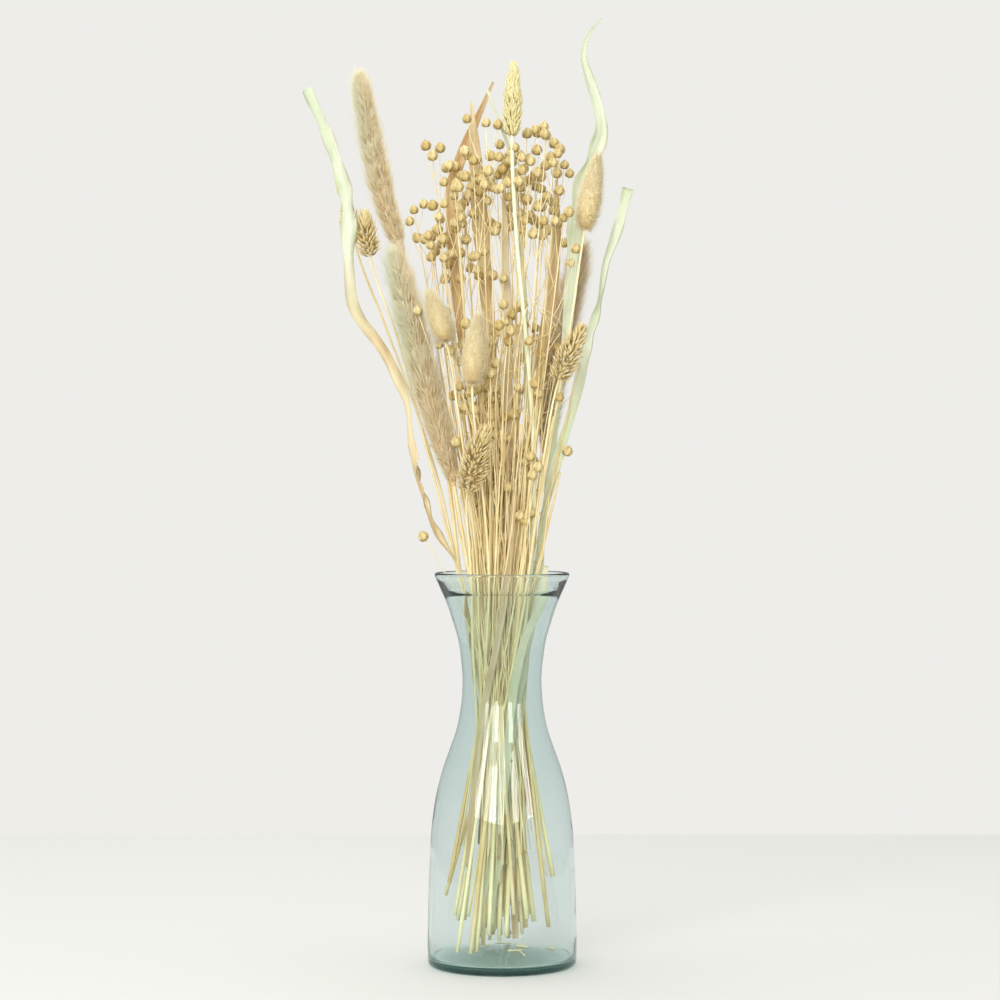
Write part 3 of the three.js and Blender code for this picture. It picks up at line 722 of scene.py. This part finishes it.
def ribbon(path, half, bearing, curl, ruffle, across=9, thick=0.4):
    """A leaf blade about a path: its shell, and each point's place along, place across and travel.

    At each height the blade spans half either way along its bearing. Its section is a gutter, curl
    times the width deep, whose edges ripple by ruffle mm every 30 mm or so. Its rings go across one
    face and back across the other, thick apart, thinning at the edges.
    """
    u = np.linspace(-1, 1, across)
    u = np.concatenate([u, u[::-1]])
    face = np.repeat([1.0, -1.0], across)
    width_way = np.stack([np.cos(bearing), np.sin(bearing), 0 * bearing], 1)
    ahead = unit(np.gradient(path, axis=0))
    width_way = width_way - ahead * (width_way * ahead).sum(1, keepdims=True)
    # A lean towards the front plane keeps the width steady where path and bearing nearly meet.
    upright = np.cross([0, 1.0, 0], ahead)
    width_way = unit(width_way + 0.3 * np.sign((width_way * upright).sum()) * upright)
    normal = np.cross(ahead, width_way)
    travel = lengths_along(path[None])[0]
    phase = travel[:, None] / 5.2 + 1.7 * np.sin(travel[:, None] / 17) + 1.3 * np.sign(u)
    ripple = ruffle * np.sin(phase) * np.abs(u) ** 2
    gutter = curl * 2 * half[:, None] * (1 - u**2) + ripple * np.minimum(half / 5, 1)[:, None]
    lift = gutter - face * thick / 2 * (1 - 0.6 * u**2)
    sideways = (half[:, None] * u)[..., None] * width_way[:, None]
    rings = path[:, None] + sideways + lift[..., None] * normal[:, None]
    shape = shells(rings[None], rings[:1, :].mean(1), rings[-1:, :].mean(1))
    corners = (1, len(path), len(u))
    place = per_corner(np.linspace(0, 1, len(path))[:, None], corners)
    wide = per_corner(half[:, None] * u, corners)
    return shape, place, wide, per_corner(travel[:, None], corners)


def make_leaf(name, blade, curl, green, ruffle, blunt=0.0, turn=(260, 380), pinch=0.12, steady=0):
    """Carries a blade along its solid's route, at the solid's width and bearing.

    blunt is its end's half width, mm, and pinch the share of its width that it loses where it is
    crushed. It turns from its lower to its upper green between the heights turn. It keeps one
    bearing over its last steady mm.
    """
    centre, _, half, bearing = read_rings(name)
    z = np.linspace(centre[0, 2], centre[-1, 2], int((centre[-1, 2] - centre[0, 2]) / 3))
    path = route_at(centre, z)
    wide = np.maximum(np.interp(z, centre[:, 2], half), 0.7)
    wide = np.maximum(wide, blunt * np.clip((z - z[-1] + 60) / 50, 0, 1))
    wide = wide * (1 - pinch * np.sin(z / 17 + 2 * np.sin(z / 43)) ** 2)
    bearing = smooth(centre[:, 2], bearing, np.minimum(z, z[-1] - steady))[:, 0]
    shape, place, across, along = ribbon(path, wide, bearing, curl, ruffle)
    heap = Heap()
    brown_edge = 1 - 0.6 * np.clip(across / np.abs(across).max() * 3.0 - 2.0, 0, 1)
    height = z[0] + (z[-1] - z[0]) * place
    fresh = np.interp(height, turn, green) * brown_edge
    chance = rng.random()
    heap.add(shape, (place, chance, fresh), (across, along, chance * GRAIN_SHIFT))
    heap.make(name + "_blade", [blade], [name])


for name, spec in LEAF_LOOKS.items():
    make_leaf(name, **spec)

# ---- flax ----

# A pod's length, and the least room between the feet of two pods, mm.
POD_LENGTH = 8.4
POD_ROOM = 9.6
# A flax stalk taller than this has five twigs, and a shorter one three, mm.
TALL_FLAX = 480


def add_pods(heap, base, ahead, size, shade):
    """Adds flax pods: five-lobed globes with a short beak, held by five pointed sepals.

    The radius at each height is a globe's, swollen by 6 percent on each lobe.
    """
    m = len(base)
    ahead = unit(ahead)
    reference = np.where(np.abs(ahead[:, 1:2]) > 0.9, [1.0, 0, 0], [0, 1.0, 0])
    side = unit(np.cross(reference, ahead))
    other = np.cross(ahead, side)
    t = np.array([0.03, 0.13, 0.3, 0.48, 0.66, 0.8, 0.9, 0.97])
    r = np.array([0.9, 2.7, 3.8, 4.05, 3.55, 2.5, 1.1, 0.35])
    turn = turns(10)
    lobe = 1 + 0.06 * np.cos(5 * turn)
    ring = circle(side, other, turn)
    s = size[:, None, None, None]
    rings = (base[:, None, None] + s * (POD_LENGTH * t)[:, None, None] * ahead[:, None, None]
             + s * (r[:, None] * lobe)[..., None] * ring[:, None])
    tip = base + ahead * (POD_LENGTH * 1.04 * size)[:, None]
    corners = (m, len(t), len(turn))
    deepening = np.interp(t, [0, 0.3, 1], [0.1, 0.3, 0.8])
    seams = per_corner((np.cos(5 * turn) < 0) * deepening[:, None], corners)
    up, chance = per_corner(t[:, None], corners), per_corner(shade[:, None, None], corners)
    grain = (up * 9, chance * 31, chance * GRAIN_SHIFT)
    heap.add(shells(rings, base, tip), (up, chance, seams), grain, 1)
    out = circle(side, other, turns(5) + 0.3).reshape(-1, 3)
    base, ahead, size, shade = (np.repeat(v, 5, 0) for v in (base, ahead, size, shade))
    way = ahead * 0.62 + out * 0.62
    add_scales(heap, base + out * 0.7, way, out, 4.9 * size, 2.4 * size, 0.5, shade, 1, bow=0.16)


def twigs_of(route, top, count):
    """Twigs that leave a stem by turns and curve up, as (twig, point, xyz) paths.

    Each is a quadratic curve: out from the stem, then upwards.
    """
    turn = rng.random() * 6.28 + np.arange(count) * GOLDEN + rng.normal(0, 0.3, count)
    drop = np.linspace(14, 78, count) + rng.uniform(-6, 6, count)
    start = route_at(route, top - drop)
    out = np.stack([np.cos(turn), 0.8 * np.sin(turn), 0 * turn], 1)
    length = drop * rng.uniform(0.55, 0.98, count) + 8
    lean = rng.uniform(0.22, 0.56, count) * np.linspace(1.0, 0.55, count)
    up = np.array([0, 0, 1.0])
    end = start + length[:, None] * (out * lean[:, None] + up * np.sqrt(1 - lean**2)[:, None])
    elbow = start + length[:, None] * (out * lean[:, None] * 0.75 + up * 0.38)
    return bowed(start, elbow, end, 7)


def spaced(points, room, rounds=40):
    """Pushes points that are nearer than room apart, round by round. A pair shares each push."""
    points = points.copy()
    for _ in range(rounds):
        gap = points[:, None] - points[None]
        far = np.linalg.norm(gap, axis=-1) + np.eye(len(points)) * 1e3
        push = np.clip(room - far, 0, None) * 0.35
        points += (gap / far[..., None] * push[..., None]).sum(1)
    return points


def make_flax(name, route, top, paths):
    """A flax stalk: a stem with a pod at its tip, and a twig with a pod along each of the paths."""
    shade = rng.random()
    heap = Heap()
    add_stem(heap, route, top, 1.15, 0.32, shade)
    count, points, _ = paths.shape
    add_tubes(heap, paths, np.linspace(0.3, 0.2, points)[None], 5, shade)
    tip = route_at(route, np.array([top]))
    lean = tip - route_at(route, np.array([top - 5]))
    base = np.concatenate([paths[:, -1], tip])
    ahead = np.concatenate([paths[:, -1] - paths[:, -2], lean])
    size = rng.uniform(0.78, 0.97, count + 1)
    add_pods(heap, base, ahead, size, np.clip(rng.normal(0.45, 0.25, count + 1), 0, 1))
    heap.make(name + "_stalk", [STRAW, POD], [name])


def make_flax_clouds():
    """Every flax stalk. Twigs bend aside towards their ends, so that their pods crowd less."""
    names = sorted(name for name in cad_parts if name.startswith("flax_"))
    routes = {name: read_rings(name)[0] for name in names}
    tops = {name: route[-1, 2] - POD_LENGTH for name, route in routes.items()}
    counts = {name: 5 if tops[name] > TALL_FLAX else 3 for name in names}
    twigs = {name: twigs_of(routes[name], tops[name], counts[name]) for name in names}
    tips = [route_at(routes[name], np.array([tops[name]])) for name in names]
    ends = np.concatenate([paths[:, -1] for paths in twigs.values()] + tips)
    moved = spaced(ends, POD_ROOM) - ends
    first = 0
    for name, paths in twigs.items():
        share = np.linspace(0, 1, paths.shape[1])[None, :, None] ** 2
        aside = moved[first:first + len(paths)][:, None] * share
        first += len(paths)
        make_flax(name, routes[name], tops[name], paths + aside)


make_flax_clouds()


# ---- loose straws and broken leaves among the stalks ----

# The height at which every loose straw passes through the carafe's neck, mm.
WAIST = 195.0


def disc(count, radius, middle=(0.0, 0.0)):
    """Chance points spread evenly over a disc."""
    reach = radius * np.sqrt(rng.random(count))
    turn = rng.random(count) * 2 * np.pi
    return np.stack([middle[0] + reach * np.cos(turn), middle[1] + reach * np.sin(turn)], 1)


def straight_paths(foot, waist, top_height, wander, points=18):
    """Routes that lean on the carafe's waist, as (route, point, xyz).

    Each is a straight line from its foot through its point at the waist. Above it, the line rises
    more steeply the higher it goes, and wander leans it aside, as the square of the way up.
    """
    t = np.linspace(0, 1, points)[None]
    z = foot[:, 2:3] + (top_height[:, None] - foot[:, 2:3]) * t
    rise = z - WAIST
    travelled = np.where(rise > 0, rise * (1 - 0.3 * np.clip(rise / 280, 0, 1)), rise)
    slope = (waist - foot[:, :2]) / (WAIST - foot[:, 2:3])
    up = np.clip((z - 245) / 130, 0, 2) ** 2
    flat = waist[:, None] + slope[:, None] * travelled[..., None] + wander[:, None] * up[..., None] * (1, 0.5)
    return np.concatenate([flat, z[..., None]], -1)


def low_feet(waist, heights, lean):
    """Chance feet for stalks that pass the waist. lean is the most they slope, sideways over upwards."""
    z = rng.uniform(*heights, len(waist))
    return np.concatenate([waist - disc(len(waist), lean) * (WAIST - z)[:, None], z[:, None]], 1)


# The cut ends that stand out in the carafe, mm.
CUT_ENDS = np.array([
    [-39, 2, 48], [-36, -8, 58], [-30, -26, 13], [-21, -28, 12.5], [-17, -25, 13], [-13, -14, 16],
    [-9, -20, 24], [-5, 6, 27], [-2, -8, 18], [5, 10, 40], [12, -4, 45], [17, -12, 34], [22, 4, 30],
    [32, 4, 26], [29, -12, 48], [-26, 10, 30], [-12, 16, 24], [35, -2, 62], [8, -20, 38], [-32, -12, 36]])


def cut_straws():
    """Thick pale straws, cut short, that stand in the carafe and end among the stalks above it."""
    foot = CUT_ENDS.astype(float)
    count = len(foot)
    waist = foot[:, :2] * 0.22 + rng.normal(0, 4.5, (count, 2)) + (2, 0)
    paths = straight_paths(foot, waist, rng.uniform(290, 400, count), rng.normal(0, 4, (count, 2)))
    r = rng.uniform(1.2, 1.8, count)[:, None] * np.interp(paths[..., 2], [30, 260, 400], [1.0, 0.75, 0.5])
    fresh = rng.random(count)
    green = np.clip((300 - paths[..., 2]) / 150, 0, 1) * np.where(fresh > 0.5, fresh * 0.8, 0)[:, None]
    heap = Heap()
    add_tubes(heap, paths, r, 8, 1.3 - fresh, green, 0, flat=0.75)
    heap.make("cut_straws", [STRAW])


cut_straws()


def stray_straws(name, count, radii, lean, pods):
    """Thin straws at odd angles, a share of them with a pod: they cross the others above the neck."""
    waist = disc(count, 15, (-0.5, 1))
    foot = low_feet(waist, (60, 150), 0.17)
    paths = straight_paths(foot, waist, rng.uniform(288, 452, count), rng.normal(0, lean, (count, 2)))
    above = np.clip((paths[..., 2:] - 240) / 60, 0, 1)
    paths[..., :2] += rng.normal(0, 0.8, paths[..., :2].shape).cumsum(1) * above
    heap = Heap()
    r = rng.uniform(*radii, count)[:, None] * np.linspace(1.1, 0.75, paths.shape[1])
    add_tubes(heap, paths, r, 6, rng.random(count) * 0.8)
    if pods:
        bearer = np.flatnonzero((rng.random(count) < pods) & (paths[:, -1, 1] < 25))
        ahead = paths[bearer, -1] - paths[bearer, -2] + rng.normal(0, 3, (len(bearer), 3))
        shade = np.clip(rng.normal(0.4, 0.25, len(bearer)), 0, 1)
        add_pods(heap, paths[bearer, -1], ahead, rng.uniform(0.76, 0.95, len(bearer)), shade)
    heap.make(name, [STRAW, POD])


stray_straws("stray_straws", 140, (0.36, 0.7), 7, 0.6)
stray_straws("fine_strays", 90, (0.16, 0.3), 8, 0.0)


def torn_blades(name, count, blade, widths, feet, tops, green):
    """Torn leaf blades that stand among the stalks, each turning as it rises, with a ragged width."""
    waist = disc(count, 12, (0, 3))
    foot = low_feet(waist, feet, 0.13)
    paths = straight_paths(foot, waist, rng.uniform(*tops, count), rng.normal(0, 4, (count, 2)), 60)
    t = np.linspace(0, 1, 60)
    heap = Heap()
    for path in paths:
        ragged = 1 + 0.16 * np.sin(t * rng.uniform(16, 30) + rng.random() * 6)
        ragged = ragged + 0.1 * np.sin(t * rng.uniform(40, 60))
        half = rng.uniform(*widths) / 2 * ragged * np.interp(t, [0, 0.1, 0.7, 1], [0.8, 1, 1, 0.15])
        bearing = rng.normal(0, 0.5) + rng.normal(0, 1.2) * t
        shape, place, across, along = ribbon(path, half, bearing, 0.16, 0.8, across=5, thick=0.3)
        chance = rng.random()
        heap.add(shape, (place, chance, green * rng.uniform(0.6, 1)), (across, along, chance * GRAIN_SHIFT))
    heap.make(name, [blade])


torn_blades("green_blades", 5, GREEN_BLADE, (4.0, 6.0), (60, 110), (275, 380), 1.0)
torn_blades("tan_blades", 9, TAN_BLADE, (3.0, 5.5), (60, 110), (280, 420), 0.3)
torn_blades("brown_blades", 7, BROWN_BLADE, (3.5, 6.0), (100, 150), (310, 420), 0.0)


def caught_bits(count):
    """Broken straws caught among the stalks above the carafe, slanting every way, a little bowed."""
    z = rng.uniform(287, 450, count)
    middle = disc(count, 1.0) * (12 + (z - 268) * 0.17)[:, None] * (1, 0.6)
    lean = rng.uniform(0.2, 1.25, count)
    turn = rng.random(count) * 2 * np.pi
    way = np.stack([np.sin(lean) * np.cos(turn), 0.5 * np.sin(lean) * np.sin(turn), np.cos(lean)], 1)
    t = np.linspace(-0.5, 0.5, 7)[None, :, None]
    length = rng.uniform(14, 58, count)[:, None, None]
    bow = rng.normal(0, 0.06, (count, 1, 3)) * length * (1 - 4 * t**2)
    paths = np.concatenate([middle, z[:, None]], 1)[:, None] + way[:, None] * length * t + bow
    heap = Heap()
    add_tubes(heap, paths, rng.uniform(0.16, 0.42, count)[:, None], 5, rng.random(count))
    heap.make("caught_bits_of_straw", [STRAW])


caught_bits(140)

# Pods that hang free of the bunch, mm.
LONE_PODS = np.array([
    [-52.0, -10, 292], [43, -8, 350], [24, -22, 389], [-34, -20, 418], [-30, -24, 356], [-22, -26, 330]])


def lone_pods():
    """Pods on thin stalks that curve out of the bunch, each a quadratic curve from the neck."""
    count = len(LONE_PODS)
    start = np.concatenate([LONE_PODS[:, :2] * 0.25, np.full((count, 1), 205.0)], 1)
    elbow = np.concatenate([LONE_PODS[:, :2] * 0.5, LONE_PODS[:, 2:] - 40], 1)
    paths = bowed(start, elbow, LONE_PODS, 14)
    heap = Heap()
    add_tubes(heap, paths, np.linspace(0.5, 0.3, 14)[None], 6, 0.4)
    add_pods(heap, paths[:, -1], paths[:, -1] - paths[:, -2], np.full(count, 0.92), rng.random(count) * 0.5)
    heap.make("lone_pods", [STRAW, POD])


lone_pods()


def neck_blade(name, blade, points, width, green):
    """A broad blade that slants across the neck in front of the stalks, through points in mm."""
    points = np.array(points, float)
    z = np.linspace(points[0, 2], points[-1, 2], 60)
    path = route_at(points, z)
    t = np.linspace(0, 1, 60)
    half = width / 2 * np.interp(t, [0, 0.12, 0.85, 1], [0.35, 1, 1, 0.6])
    shape, place, across, along = ribbon(path, half, 0.25 * np.sin(t * 5), 0.12, 0.4, across=7, thick=0.35)
    heap = Heap()
    heap.add(shape, (place, 0.4, green), (across, along, 31.0))
    heap.make(name, [blade])


GREEN_ROUTE = [
    (-2, -17, 92), (2, -17, 130), (4.5, -17.5, 158), (8.5, -18, 196), (15, -21, 226), (26, -19, 252),
    (30, -12, 275)]
TAN_ROUTE = [
    (-24, -14, 70), (-19, -14, 120), (-14.5, -14, 160), (-9, -15.5, 192), (-3.5, -17, 222),
    (3, -17, 262), (9, -14, 330)]
neck_blade("slanting_green_blade", GREEN_BLADE, GREEN_ROUTE, 5.6, 0.7)
neck_blade("slanting_tan_blade", TAN_BLADE, TAN_ROUTE, 4.6, 0.2)


def floor_bits(count):
    """Bits of straw lying on the carafe's domed floor."""
    at = disc(count, 36)
    turn = rng.random(count) * np.pi
    length = rng.uniform(3, 11, count)
    t = np.linspace(-0.5, 0.5, 5)[None, :, None]
    way = np.stack([np.cos(turn), np.sin(turn)], 1)
    flat = at[:, None] + way[:, None] * length[:, None, None] * t
    height = dome(np.linalg.norm(flat, axis=-1), 48) + 0.9
    paths = np.concatenate([flat, height[..., None]], -1)
    heap = Heap()
    add_tubes(heap, paths, rng.uniform(0.4, 0.8, count)[:, None], 6, rng.random(count), 0.3, flat=0.6)
    heap.make("bits_of_straw", [STRAW])


floor_bits(12)


# ---- the room ----

def make_floor():
    """A plain pale table top, 1.51 m square, with its back edge behind the carafe."""
    half = 0.755
    mesh = bpy.data.meshes.new("floor")
    corners = [(-half, -half, 0), (half, -half, 0), (half, half, 0), (-half, half, 0)]
    mesh.from_pydata(corners, [], [(0, 1, 2, 3)])
    material, tree = empty_material("pale_table_top")
    end_material(tree, srgb("#d4d4d1"), 0.7, 0.2)
    mesh.materials.append(material)
    floor = bpy.data.objects.new("floor", mesh)
    bpy.context.scene.collection.objects.link(floor)


make_floor()


def add_lamp(name, place, aim, size, watts, glossy_only=False):
    """A soft panel light that faces a point.

    A glossy-only panel shows just as a gleam in the glass, and the others leave no gleam there.
    """
    light = bpy.data.lights.new(name, "AREA")
    light.shape = "RECTANGLE"
    light.size, light.size_y = size
    light.energy = watts
    lamp = bpy.data.objects.new(name, light)
    bpy.context.scene.collection.objects.link(lamp)
    back = unit(np.array(place, float) - np.array(aim, float))
    side = unit(np.cross([0, 0, 1.0], back))
    up = np.cross(back, side)
    matrix = np.eye(4)
    matrix[:3, 0], matrix[:3, 1], matrix[:3, 2], matrix[:3, 3] = side, up, back, place
    lamp.matrix_world = Matrix(matrix.tolist())
    lamp.visible_camera = False
    lamp.visible_glossy = glossy_only
    if glossy_only:
        lamp.visible_diffuse = False
        lamp.visible_transmission = False


add_lamp("top_softbox", (-0.2, 0.5, 2.4), (0, 0.5, 0), (1.8, 1.6), 28)
add_lamp("front_softbox", (-0.7, -2.6, 1.4), (0, 0, 0.35), (2.0, 1.6), 66)
# Four tall windows in front, seen as upright gleams on the carafe's shoulder.
WINDOW_AZIMUTHS = (-42, -16, 23, 48)
WINDOW_DISTANCE = 1.9
for number, azimuth in enumerate(WINDOW_AZIMUTHS):
    a = np.radians(azimuth)
    place = (WINDOW_DISTANCE * np.sin(a), -WINDOW_DISTANCE * np.cos(a), 0.83)
    add_lamp(f"window_{number}", place, (0, 0, 0.15), (0.36, 0.92), 9, True)

world = bpy.data.worlds.new("pale_room")
bpy.context.scene.world = world
world.use_nodes = True
tree = world.node_tree
tree.nodes.clear()
# The room is a little dimmer as light than as it looks, and dimmer still in the glass's mirror side.
path = put(tree, "ShaderNodeLightPath")
mirrored = calculate(tree, "SUBTRACT", path["Is Glossy Ray"], path["Is Transmission Ray"], clamp=True)
dimmed = calculate(tree, "MULTIPLY_ADD", mirrored, -0.55, 1.0)
strength = calculate(tree, "MULTIPLY_ADD", path["Is Diffuse Ray"], -0.12, dimmed)
room = put(tree, "ShaderNodeBackground", None, {"Color": srgb("#eeede9"), "Strength": strength})[0]
put(tree, "ShaderNodeOutputWorld", None, {"Surface": room})

scene = bpy.context.scene
scene.view_settings.view_transform = "Standard"
scene.view_settings.look = "None"
# Light crosses many hairs and many walls of glass, and runs along inside the thick ring.
scene.cycles.max_bounces = 36
scene.cycles.transmission_bounces = 36
scene.cycles.diffuse_bounces = 8
scene.cycles.glossy_bounces = 32

camera_data = bpy.data.cameras.new("camera")
camera_data.lens = 113
camera_data.sensor_width = 36
camera_data.clip_end = 50
camera = bpy.data.objects.new("camera", camera_data)
scene.collection.objects.link(camera)
camera.location = (-0.0014, -2.15, 0.347)
camera.rotation_euler = (np.radians(90 - 0.73), 0, 0)
scene.camera = camera

bpy.context.view_layer.update()
